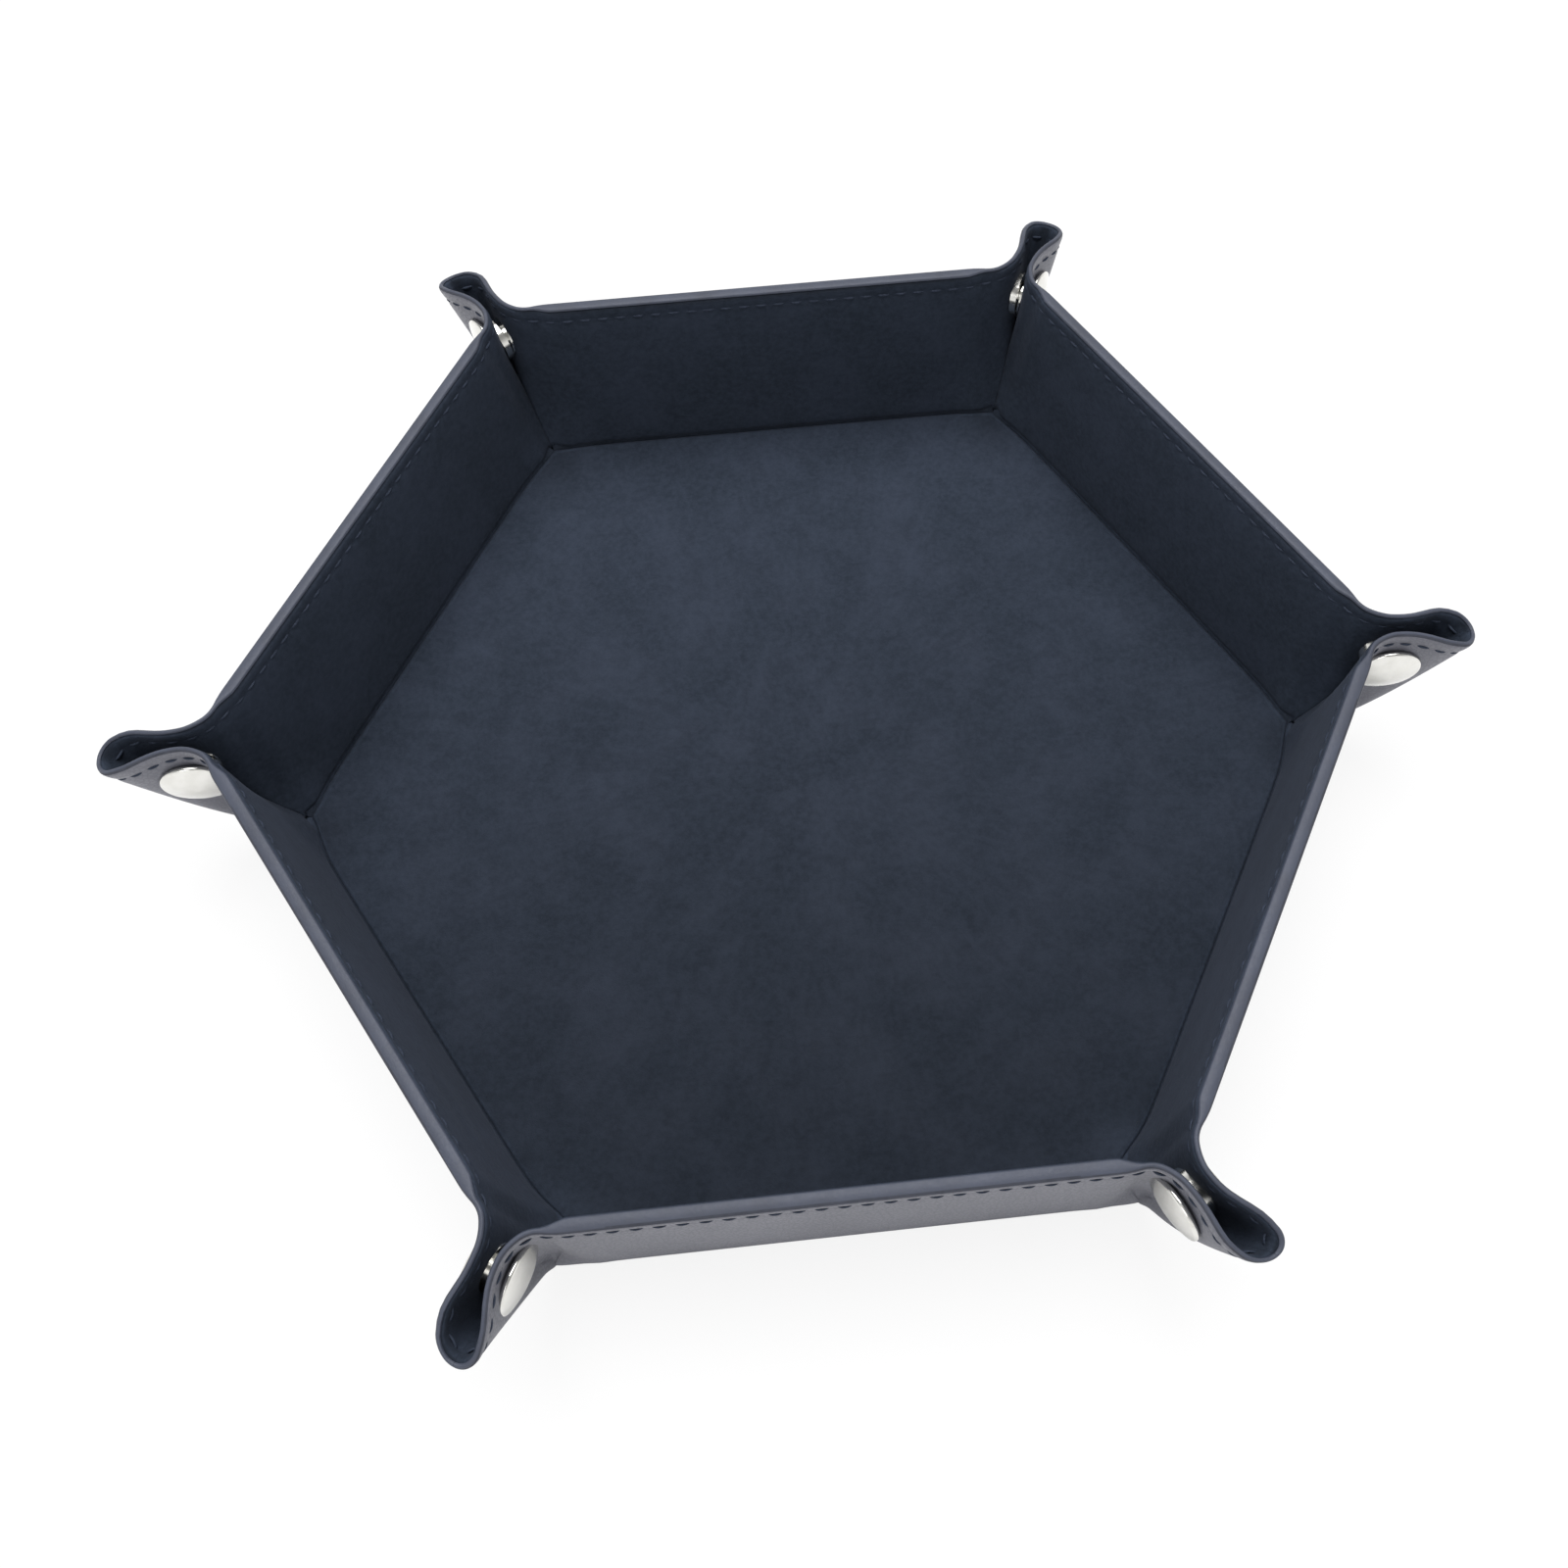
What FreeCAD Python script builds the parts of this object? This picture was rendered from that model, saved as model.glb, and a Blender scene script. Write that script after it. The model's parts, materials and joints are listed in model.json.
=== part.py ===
import FreeCAD, Part
import math
import os

# Folding dice tray: a hexagonal mat of leather, stiff board and velvet whose six walls fold up
# about creases round the floor. The corner gussets pinch together into ears, and a snap through
# each ear holds two neighbouring walls upright.
#
# Millimetres. Origin on the underside of the floor at its centre, +Z up, +X towards a corner.
# Every panel is drawn lying flat, as the tray is cut, and is then folded up about its creases.

# ---- driving dimensions ----------------------------------------------------------------------
floor_apothem = 87.85       # centre to the crease between the floor and a wall
wall_length = 38.4          # crease to the rim
wall_flare = 6.5            # lean of an upright wall away from vertical, degrees

leather_thickness = 0.8
board_thickness = 1.3
velvet_thickness = 0.7
gusset_thickness = 1.3      # leather and velvet bonded together, with no board between them

crease_gap = 1.45           # panel edge to the floor crease
corner_gap = 1.2            # velvet edge of a wall to its corner crease
leather_corner_gap = 2.2    # leather edge of a wall to its corner crease, so the cap can close on it
flap_gap = 1.0              # flap edge to the corner crease
fold_gap = 0.75             # panel edges to the crease at the ear's outer end
ear_gap = 0.6               # fold strip to the middle plane of the ear
board_inset = 0.8           # board edge behind the edge of the leather
board_corner_inset = 10.0   # the boards stop this far from the corner creases
tip_radius = 25.0           # rounding of the flat mat's corner
fold_half_width = 4.3       # half the angle of the ear's outer end, seen from the floor corner, degrees
flap_relief = 15.0          # the flap starts this far from the floor corner
fold_relief = 26.0          # the fold strip starts this far from the floor corner

snap_reach = 28.0           # floor corner to the centre of the snap
snap_angle = 13.0           # corner crease to the centre of the snap, degrees
cap_radius = 6.3
cap_height = 2.2
cap_edge_height = 1.1       # height of the rolled edge of the cap
cap_edge_roll = 0.4         # how far the rolled edge bulges
post_radius = 1.5
post_clearance = 0.1
rivet_radius = 2.2
rivet_height = 0.3
flange_height = 0.35
socket_radius = 4.6
socket_height = 1.3
socket_bore_radius = 2.9
stud_flange_radius = 4.2
stud_radius = 2.1
stud_height = 1.4
stud_wall = 0.3              # sheet metal of the stud's hollow button

# ---- derived dimensions ----------------------------------------------------------------------
CORNER_HALF = 30.0          # half the gusset's angle at the floor corner of a hexagon, degrees
sandwich = leather_thickness + board_thickness + velvet_thickness
crease_height = sandwich / 2
board_bottom = leather_thickness
board_top = leather_thickness + board_thickness
half_side = floor_apothem * math.tan(math.radians(CORNER_HALF))
gusset_bottom = crease_height - gusset_thickness / 2
gusset_top = crease_height + gusset_thickness / 2
fold_angle = CORNER_HALF - fold_half_width
wall_fold = 90.0 - wall_flare

UP = FreeCAD.Vector(0, 0, 1)
CENTRE = FreeCAD.Vector(0, 0, 0)
CREASE_AXIS = FreeCAD.Vector(0, 1, 0)
CREASE_POINT = FreeCAD.Vector(floor_apothem, 0, crease_height)
CORNER = FreeCAD.Vector(floor_apothem, half_side, crease_height)

# Each wall is drawn facing +X and then turned to its place. Left and right are as seen from the
# middle of the tray, looking at the wall.
WALLS = {
    "back_right": 30.0,
    "back": 90.0,
    "back_left": 150.0,
    "front_left": 210.0,
    "front": 270.0,
    "front_right": 330.0,
}


# ---- geometry helpers ------------------------------------------------------------------------
def polar(length, degrees):
    angle = math.radians(degrees)
    return FreeCAD.Vector(length * math.cos(angle), length * math.sin(angle), 0)


def slab(edges_or_points, bottom, top):
    """Solid plate over a flat outline, from height bottom to height top."""
    if isinstance(edges_or_points[0], FreeCAD.Vector):
        points = list(edges_or_points)
        wire = Part.makePolygon(points + points[:1])
    else:
        wire = Part.Wire(edges_or_points)
    plate = Part.Face(wire).extrude(UP * (top - bottom))
    plate.translate(UP * bottom)
    return plate


def rectangle(x_low, x_high, half_width, bottom, top):
    size = (x_high - x_low, 2 * half_width, top - bottom)
    return Part.makeBox(*size, FreeCAD.Vector(x_low, -half_width, bottom))


def turned(shape, point, axis, degrees):
    result = shape.copy()
    result.rotate(point, axis, degrees)
    return result


def revolved(profile, centre):
    """Turned piece from (radius, height) points round the vertical line through centre."""
    points = [FreeCAD.Vector(radius, 0, height) for radius, height in profile]
    face = Part.Face(Part.makePolygon(points + points[:1]))
    piece = face.revolve(CENTRE, UP, 360)
    piece.translate(centre)
    return piece


# ---- how the corner folds --------------------------------------------------------------------
def corner_fold():
    """Fold angles, in degrees, at the corner crease and at the crease of the ear's outer end.

    All the creases of a corner meet at the floor corner, so they are directions on a sphere. In
    the corner's own frame X points out through the ear and Y across it. The corner crease is
    fixed by the wall. The fold crease lies fold_half_width from the ear's middle plane, and the
    strip beyond it ends square on that plane.
    """
    flare = math.radians(wall_flare)
    half = math.radians(CORNER_HALF)
    width = math.radians(fold_half_width)
    corner = FreeCAD.Vector(math.sin(flare) * math.cos(half), math.sin(flare) * math.sin(half),
                            math.cos(flare))
    along_wall = FreeCAD.Vector(math.sin(half), -math.cos(half), 0)

    reach = (math.cos(half - width) - corner.y * math.sin(width)) / math.cos(width)
    lift = math.asin(reach / math.hypot(corner.x, corner.z)) - math.atan2(corner.x, corner.z)
    middle = FreeCAD.Vector(math.cos(lift), 0, math.sin(lift))
    fold = middle * math.cos(width) + FreeCAD.Vector(0, math.sin(width), 0)

    across_flap = fold - corner * fold.dot(corner)
    flap_end = fold * corner.dot(fold) - corner
    across_strip = middle - fold * middle.dot(fold)
    flap_turn = math.degrees(along_wall.getAngle(across_flap))
    strip_turn = math.degrees(flap_end.getAngle(across_strip))
    return flap_turn, strip_turn


def folded_wall(shape):
    return turned(shape, CREASE_POINT, CREASE_AXIS, -wall_fold)


def folded_flap(shape):
    flap_turn, _ = corner_fold()
    return folded_wall(turned(shape, CORNER, polar(1, 0), -flap_turn))


def folded_strip(shape):
    _, strip_turn = corner_fold()
    return folded_flap(turned(shape, CORNER, polar(1, fold_angle), strip_turn))


# ---- floor and walls -------------------------------------------------------------------------
def hexagon(apothem, bottom, top):
    corner_radius = apothem / math.cos(math.radians(CORNER_HALF))
    return slab([polar(corner_radius, 60 * k) for k in range(6)], bottom, top)


def floor_parts():
    edge = floor_apothem - crease_gap
    return {
        "floor_leather": hexagon(edge, 0, board_bottom),
        "floor_board": hexagon(edge - board_inset, board_bottom, board_top),
        "floor_velvet": hexagon(edge, board_top, sandwich),
    }


def wall_parts():
    low = floor_apothem + crease_gap
    high = floor_apothem + wall_length
    leather = rectangle(low, high, half_side - leather_corner_gap, 0, board_bottom)
    board = rectangle(low + board_inset, high - board_inset, half_side - board_corner_inset,
                      board_bottom, board_top)
    velvet = rectangle(low, high, half_side - corner_gap, board_top, sandwich)
    flat = {"wall_leather": leather, "wall_board": board, "wall_velvet": velvet}
    return {name: folded_wall(shape) for name, shape in flat.items()}


# ---- corner gusset: a flap on the wall's end and the strip that closes the ear ----------------
def gusset_sheet():
    """Half of a flat corner: from the corner crease to the middle of the corner."""
    half = math.radians(CORNER_HALF)
    straight = wall_length - tip_radius
    arc_centre = CORNER + FreeCAD.Vector(straight, straight * math.tan(half), 0)
    arc_start = arc_centre + polar(tip_radius, 0)
    arc_middle = arc_centre + polar(tip_radius, CORNER_HALF / 2)
    tip = arc_centre + polar(tip_radius, CORNER_HALF)
    edge_start = CORNER + polar(wall_length, 0)
    edges = [
        Part.makeLine(CORNER, edge_start),
        Part.makeLine(edge_start, arc_start),
        Part.Arc(arc_start, arc_middle, tip).toShape(),
        Part.makeLine(tip, CORNER),
    ]
    sheet = slab(edges, 0, gusset_thickness)
    sheet.translate(UP * (gusset_bottom - CORNER.z))
    return sheet


def wedge(low_angle, low_gap, high_angle, high_gap):
    """Everything between two creases from the floor corner, less a gap beside each."""
    low = polar(1, low_angle)
    high = polar(1, high_angle)
    opening = math.sin(math.radians(high_angle - low_angle))
    apex = CORNER + (low * high_gap + high * low_gap) * (1 / opening)
    reach = 2 * wall_length
    outline = [apex, apex + low * reach, apex + high * reach]
    piece = slab(outline, 0, sandwich)
    piece.translate(UP * -CORNER.z)
    return piece


def without_corner(shape, radius):
    relief = Part.makeCylinder(radius, sandwich, FreeCAD.Vector(CORNER.x, CORNER.y, 0))
    return shape.cut(relief)


def snap_centre(height):
    centre = CORNER + polar(snap_reach, snap_angle)
    return FreeCAD.Vector(centre.x, centre.y, height)


def flap():
    sheet = gusset_sheet().common(wedge(0, flap_gap, fold_angle, fold_gap))
    hole = Part.makeCylinder(post_radius + post_clearance, sandwich, snap_centre(0))
    return without_corner(sheet, flap_relief).cut(hole)


def fold_strip():
    sheet = gusset_sheet().common(wedge(fold_angle, fold_gap, CORNER_HALF, ear_gap))
    return without_corner(sheet, fold_relief)


# ---- snap fastener ---------------------------------------------------------------------------
def snap_cap():
    """Domed cap on the leather side, with a post through the gusset and a riveted head."""
    edge = cap_radius - cap_edge_roll
    rise = cap_height - cap_edge_height
    crown_radius = (edge ** 2 + rise ** 2) / (2 * rise)
    half_arc = math.asin(edge / crown_radius) / 2
    crown_middle = FreeCAD.Vector(crown_radius * math.sin(half_arc), 0,
                                  crown_radius * (1 - math.cos(half_arc)) - cap_height)
    rim = FreeCAD.Vector(edge, 0, -cap_edge_height)
    foot = FreeCAD.Vector(edge, 0, 0)
    crown = Part.Arc(FreeCAD.Vector(0, 0, -cap_height), crown_middle, rim).toShape()
    roll = Part.Arc(rim, FreeCAD.Vector(cap_radius, 0, -cap_edge_height / 2), foot).toShape()

    head_bottom = gusset_thickness + flange_height
    head_top = head_bottom + rivet_height
    post = [(edge, 0), (post_radius, 0), (post_radius, head_bottom), (rivet_radius, head_bottom),
            (rivet_radius, head_top), (0, head_top), (0, -cap_height)]
    post_edges = Part.makePolygon([FreeCAD.Vector(radius, 0, height) for radius, height in post]).Edges
    cap = Part.Face(Part.Wire([crown, roll] + post_edges)).revolve(CENTRE, UP, 360)
    cap.translate(snap_centre(gusset_bottom))
    return cap


def snap_socket():
    hole = post_radius + post_clearance
    profile = [(hole, 0), (socket_radius, 0), (socket_radius, socket_height),
               (socket_bore_radius, socket_height), (socket_bore_radius, flange_height),
               (hole, flange_height)]
    return revolved(profile, snap_centre(gusset_top))


def snap_stud():
    """Flange and a hollow button that stands over the riveted head of the post."""
    hole = post_radius + post_clearance
    neck = rivet_radius + post_clearance
    roof = stud_height - stud_wall
    profile = [(hole, 0), (stud_flange_radius, 0), (stud_flange_radius, flange_height),
               (neck + stud_wall, flange_height), (neck + stud_wall, roof),
               (stud_radius, stud_height), (0, stud_height), (0, roof),
               (neck, roof), (neck, flange_height), (hole, flange_height)]
    return revolved(profile, snap_centre(gusset_top))


def end_parts(mate_name, mate):
    """The moving pieces at the left end of a wall; mate is the snap's inner piece."""
    snap = Part.makeCompound([snap_cap(), mate])
    return {
        "flap": folded_flap(flap()),
        "fold": folded_strip(fold_strip()),
        mate_name: folded_flap(snap),
    }


# ---- assembly --------------------------------------------------------------------------------
def all_parts():
    left_end = end_parts("snap_stud", snap_stud())
    right_end = end_parts("snap_socket", snap_socket())
    wall = wall_parts()
    for name, shape in left_end.items():
        wall["wall_left_" + name] = shape
    for name, shape in right_end.items():
        wall["wall_right_" + name] = shape.mirror(CENTRE, CREASE_AXIS)

    parts = floor_parts()
    for place, direction in WALLS.items():
        for name, shape in wall.items():
            parts[place + "_" + name] = turned(shape, CENTRE, UP, direction)
    return parts


os.makedirs("parts", exist_ok=True)
for node, solid in all_parts().items():
    solid.exportStep(os.path.join("parts", node + ".step"))
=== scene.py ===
import json
import math

import bmesh
import bpy
import numpy as np
from mathutils import Matrix, Vector


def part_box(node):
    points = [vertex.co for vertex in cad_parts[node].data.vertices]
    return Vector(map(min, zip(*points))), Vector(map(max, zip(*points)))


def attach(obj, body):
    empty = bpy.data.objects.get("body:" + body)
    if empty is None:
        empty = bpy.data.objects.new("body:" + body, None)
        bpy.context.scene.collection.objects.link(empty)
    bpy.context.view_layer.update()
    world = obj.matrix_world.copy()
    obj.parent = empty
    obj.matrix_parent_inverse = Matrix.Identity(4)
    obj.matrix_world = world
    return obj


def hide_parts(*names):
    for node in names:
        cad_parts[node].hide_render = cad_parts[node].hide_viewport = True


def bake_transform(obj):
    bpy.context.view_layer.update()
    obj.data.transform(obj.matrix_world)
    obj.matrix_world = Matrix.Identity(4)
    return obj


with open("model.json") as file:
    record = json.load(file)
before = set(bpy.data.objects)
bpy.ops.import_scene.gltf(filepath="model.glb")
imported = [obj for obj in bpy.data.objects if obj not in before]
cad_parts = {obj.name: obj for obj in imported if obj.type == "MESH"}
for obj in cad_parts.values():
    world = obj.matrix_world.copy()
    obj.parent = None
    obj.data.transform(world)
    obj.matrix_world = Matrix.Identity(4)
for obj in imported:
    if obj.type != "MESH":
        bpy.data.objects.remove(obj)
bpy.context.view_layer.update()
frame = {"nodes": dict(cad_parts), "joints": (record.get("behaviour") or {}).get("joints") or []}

# Folding dice tray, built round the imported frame. Lengths here are millimetres; MM turns them into
# Blender's metres when a mesh is made.
#
# The tray has six equal corners, and each corner two mirrored halves. One half is worked out in
# the "half-corner" frame: +X out through the ear, +Y across it, the wall's face normal 30 degrees
# round from +X. Every other half is that one mirrored and turned.

MM = 0.001

# ---- frame sizes, in mm ----
JOINTS = {joint["name"]: joint for joint in frame["joints"]}
WALL_NAMES = {30: "back_right", 90: "back", 150: "back_left", 210: "front_left", 270: "front",
              330: "front_right"}
CORNER_ANGLES = range(0, 360, 60)
HALVES = [(corner_angle, mirrored) for corner_angle in CORNER_ANGLES for mirrored in (False, True)]
HALF_CORNER = math.radians(30)      # from a corner's diagonal to the facing of the wall beside it


def joint_point(name):
    return np.array(JOINTS[name]["pos_m"]) / MM


def joint_axis(name):
    return np.array(JOINTS[name]["axis"])


def turn(degrees):
    """Rotation about the vertical."""
    angle = math.radians(degrees)
    cosine, sine = math.cos(angle), math.sin(angle)
    return np.array([[cosine, -sine, 0], [sine, cosine, 0], [0, 0, 1]])


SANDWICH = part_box("floor_velvet")[1][2] / MM
HALF_SANDWICH = SANDWICH / 2
APOTHEM = float(np.linalg.norm(joint_point("back_wall_fold")[:2]))
WALL_SPAN = 2 * APOTHEM * math.tan(HALF_CORNER)
RIM_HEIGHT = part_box("back_wall_velvet")[1][2] / MM
UP = np.array([0.0, 0.0, 1.0])
STRAIGHT_OUT = np.array([1.0, 0.0, 0.0])    # from the tray's middle through a corner
ACROSS_EAR = np.array([0.0, 1.0, 0.0])

# The right corner's +Y half hangs on the back right wall's right end.
CORNER = joint_point("back_right_wall_right_flap_hinge")
CORNER_CREASE = -joint_axis("back_right_wall_right_flap_hinge")
FOLD_CREASE = joint_axis("back_right_wall_right_fold_hinge")
FLARE = math.asin(math.hypot(CORNER_CREASE[0], CORNER_CREASE[1]))
WALL_OUT = np.array([math.cos(HALF_CORNER), math.sin(HALF_CORNER), 0.0])
ALONG_WALL = np.array([-WALL_OUT[1], WALL_OUT[0], 0.0])
WALL_NORMAL = np.cross(ALONG_WALL, CORNER_CREASE)
WALL_UP = WALL_OUT * math.sin(FLARE) + UP * math.cos(FLARE)
WALL_LENGTH = (RIM_HEIGHT - HALF_SANDWICH - HALF_SANDWICH * math.sin(FLARE)) / math.cos(FLARE)

# ---- shape of the soft parts, in mm ----
SHEET = 0.65                # half the thickness of leather and velvet bonded together
SKIN = 0.7                  # thickness of one covering
# The sheet grows from the ear's thickness to the wall's over these distances from a corner crease.
BOARD_END = (3.5, 8.5)      # on the inside
OUTSIDE_STEP = (0.5, 7.5)   # on the outside
STEP_SHIFT = 4.0            # both are this much nearer the corner at the foot of the wall
TIP_RADIUS = 23.0           # of the flat sheet's rounded corners
EXTRA_REACH = math.radians(5.4)     # the rounded ear reaches this much further than a sharp fold
NECK_PINCH = 0.62           # the snap draws the ear in this much
NECK_CLOSED = 12.0          # the pinch fades out below this distance from the floor corner
SNAP_FLAT = 5.0             # and the snap's flange keeps the sheet flat this far round its centre
EAR_SWELL = 0.7             # the ear opens out this much before the round end
EAR_BELLY = 1.9             # how far the ear's lower edge curves out from a straight line
# Where these sit, in degrees past the corner crease: middle and width, or start and end.
PINCH_PLACE = (10.5, 7.0)
SWELL_PLACE = (22.5, 5.5)
BELLY_RISE = (5, 22)
RAY = math.radians(-20.0)   # where a corner piece takes over from the flat wall
SPLIT = math.radians(14.0)  # where the tip piece takes over from the flap piece
CORNER_BEND = 4.5           # half width of the bend at the neck, at the rim
CORNER_BEND_SLOPE = 0.22    # and its share of the distance from the floor corner lower down
BULGE = 2.0                 # how far the leather stands off the foot of a wall
BULGE_TOP = 36.0            # and the height where it lies on the wall again
BULGE_END = 8.0             # the bulge grows to full size this far from a corner
CORNER_PUSH = 2.4           # how far the leather stands off the floor corner
CORNER_PUSH_SIZE = 5.0      # and how far round it
CORNER_FILL = 3.0           # how far the velvet stands in from the floor corner
CORNER_FILL_SIZE = 8.0      # and how far round it
CORNER_FILL_WAY = (0.8, 0.6)        # its shares inward and up
TURNED_EARS = {120: 2.2, 240: 2.2, 300: 3.2}    # some tips stand this far anticlockwise
EAR_TURN_FROM = 7.0         # they start to turn this far out from the floor corner
EAR_TURN_OVER = 17.0        # and have turned fully this much further out
EAR_GAP = 0.02              # half of the gap between the velvets of the two halves of an ear
WAVES = 5                   # how many waves make the floor's unevenness
WAVE_LENGTH = 60
WAVE_SEED = 3
STITCH_INSET = 3.1          # from the rim
STITCH_PITCH = 3.6
STITCH_LENGTH = 2.5
STITCH_RADIUS = 0.28
STITCH_GROOVE = 0.16        # depth of the groove that the stitches pull
STITCH_GROOVE_WIDTH = 0.55
SHARP_ANGLE = math.radians(48)      # bends sharper than this are shaded as edges


def smooth(x, low, high):
    t = np.clip((np.asarray(x, float) - low) / (high - low), 0, 1)
    return t * t * (3 - 2 * t)


def unit(v):
    return v / np.linalg.norm(v)


# ---- the folded sheet ----
ACROSS_FLAP = unit(FOLD_CREASE - CORNER_CREASE * (FOLD_CREASE @ CORNER_CREASE))
FOLD_ANGLE = math.acos(FOLD_CREASE @ CORNER_CREASE) + EXTRA_REACH
EAR_CREASE = math.cos(FOLD_ANGLE) * CORNER_CREASE + math.sin(FOLD_ANGLE) * ACROSS_FLAP
EAR_MIDDLE = unit(EAR_CREASE * np.array([1.0, 0.0, 1.0]))
STRIP_ANGLE = math.asin(EAR_CREASE[1])
END_ANGLE = FOLD_ANGLE + STRIP_ANGLE
BACK_TO_WALL = unit(CORNER_CREASE - EAR_CREASE * (CORNER_CREASE @ EAR_CREASE))
TO_MIDDLE = unit(EAR_MIDDLE - EAR_CREASE * (EAR_MIDDLE @ EAR_CREASE))
EAR_OUT = np.cross(ACROSS_EAR, EAR_MIDDLE)
SNAP_CENTRE = np.mean(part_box("back_right_wall_right_snap_socket"), axis=0) / MM
SNAP_PLACE = ((SNAP_CENTRE - CORNER) @ ACROSS_FLAP, (SNAP_CENTRE - CORNER) @ CORNER_CREASE)


def bend(x, half_width, before, after):
    """A line that runs along before, then along after, with a round bend half_width each side of 0."""
    h = np.maximum(half_width, 1e-6)
    t = np.clip((x + h) / (2 * h), 0, 1)
    weight = math.sin(math.acos(before @ after) / 2)
    whole = (1 - t) ** 2 + 2 * weight * t * (1 - t) + t ** 2
    a = (1 - t) ** 2 * h / whole - np.minimum(x + h, 0)
    b = t ** 2 * h / whole + np.maximum(x - h, 0)
    return a[..., None] * before + b[..., None] * after


def hump(x, middle, width):
    """Smooth rise to 1 at middle, and back."""
    return np.exp(-((x - middle) / width) ** 2)


def from_snap(angle, distance):
    """Distance on the sheet from the snap's centre."""
    across = distance * np.sin(angle) - SNAP_PLACE[0]
    along = distance * np.cos(angle) - SNAP_PLACE[1]
    return np.hypot(across, along)


def sheet(angle, distance):
    """Middle of the sheet at an angle past the corner crease and a distance from the floor corner."""
    angle, distance = np.broadcast_arrays(np.asarray(angle, float), np.asarray(distance, float))
    width = np.minimum(CORNER_BEND, CORNER_BEND_SLOPE * distance)
    near = (distance * np.cos(angle))[..., None] * CORNER_CREASE
    near = near + bend(distance * np.sin(angle), width, ALONG_WALL, ACROSS_FLAP)
    past = angle - FOLD_ANGLE
    fold_width = distance * math.sin(STRIP_ANGLE)
    far = (distance * np.cos(past))[..., None] * EAR_CREASE
    far = far + bend(distance * np.sin(past), fold_width, BACK_TO_WALL, TO_MIDDLE)
    point = CORNER + np.where((angle < SPLIT)[..., None], near, far)
    degrees = np.degrees(angle)
    reach = np.clip(distance / WALL_LENGTH, 0, 1)
    sway = EAR_SWELL * reach * hump(degrees, *SWELL_PLACE)
    pinch = NECK_PINCH * smooth(distance, 0, NECK_CLOSED) * hump(degrees, *PINCH_PLACE)
    sway = sway - pinch * (1 - hump(from_snap(angle, distance), 0, SNAP_FLAT))
    belly = EAR_BELLY * smooth(degrees, *BELLY_RISE) * np.sin(math.pi * reach ** 0.8)
    return point + sway[..., None] * ACROSS_EAR + belly[..., None] * EAR_OUT


def sheet_normal(angle, distance):
    """Outward normal of the sheet, on the leather side."""
    step = 1e-4
    across = sheet(angle + step, distance) - sheet(angle - step, distance)
    along = sheet(angle, np.asarray(distance) + step) - sheet(angle, np.asarray(distance) - step)
    normal = np.cross(along, across)
    return normal / np.linalg.norm(normal, axis=-1, keepdims=True)


def outline(angle):
    """Distance from the floor corner to the edge of the sheet."""
    angle = np.asarray(angle, float)
    from_middle = np.clip((END_ANGLE - angle) * HALF_CORNER / END_ANGLE, 0, HALF_CORNER)
    centre = (WALL_LENGTH - TIP_RADIUS) / math.cos(HALF_CORNER)
    tangent = math.atan2(TIP_RADIUS * math.sin(HALF_CORNER),
                         centre + TIP_RADIUS * math.cos(HALF_CORNER))
    inside = np.maximum(TIP_RADIUS ** 2 - (centre * np.sin(from_middle)) ** 2, 0)
    rounded = centre * np.cos(from_middle) + np.sqrt(inside)
    straight = WALL_LENGTH / np.cos(HALF_CORNER - from_middle)
    wall = WALL_LENGTH / np.cos(np.minimum(angle, 0))
    return np.where(angle < 0, wall, np.where(from_middle > tangent, straight, rounded))


def step_place(from_crease, height):
    """Distance from the corner crease, allowing for the steps being nearer it at the foot."""
    return from_crease + STEP_SHIFT * (1 - np.clip(height / RIM_HEIGHT, 0, 1))


def outside_face(from_crease, height):
    """Height of the leather face over the middle plane, by distance from the corner crease."""
    place = step_place(from_crease, height)
    return SHEET + (HALF_SANDWICH - SHEET) * smooth(place, *OUTSIDE_STEP)


def inside_face(from_crease, height):
    """Height of the velvet face over the middle plane (negative)."""
    place = step_place(from_crease, height)
    thickness = 2 * SHEET + (SANDWICH - 2 * SHEET) * smooth(place, *BOARD_END)
    return outside_face(from_crease, height) - thickness


def bulge(from_crease, height):
    """How far the leather stands off the wall's outside."""
    share = np.clip(height / BULGE_TOP, 0, 1)
    return BULGE * (1 - share ** 2) * smooth(from_crease, 0, BULGE_END)


def corner_push(from_corner):
    """How far the leather stands off at a distance from the floor corner."""
    return CORNER_PUSH * hump(from_corner, 0, CORNER_PUSH_SIZE)


def corner_fill(point, corner, outward):
    """Velvet point moved in and up near a floor corner, where the lining bridges the angle."""
    inward, up = CORNER_FILL_WAY
    size = CORNER_FILL * hump(np.linalg.norm(point - corner), 0, CORNER_FILL_SIZE)
    return point + size * (up * UP - inward * outward)


def soft_waves(points, height):
    """Gentle unevenness: a few long sine waves in fixed directions."""
    draw = np.random.default_rng(WAVE_SEED)
    total = np.zeros(points.shape[:-1])
    for _ in range(WAVES):
        direction = unit(draw.normal(size=3))
        phase = draw.uniform(0, 2 * math.pi)
        length = WAVE_LENGTH * draw.uniform(0.7, 1.6)
        total += np.sin(points @ direction * 2 * math.pi / length + phase)
    return height * total / WAVES


# ---- meshes ----
def add_object(name, data):
    thing = bpy.data.objects.new(name, data)
    bpy.context.collection.objects.link(thing)
    return thing


def band(low, high, count):
    """Quads between two closed rows of points that start at low and high."""
    return [(low + j, low + (j + 1) % count, high + (j + 1) % count, high + j) for j in range(count)]


def cap(first, count):
    """One face over a closed row of points that starts at first."""
    return tuple(range(first, first + count))


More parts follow.
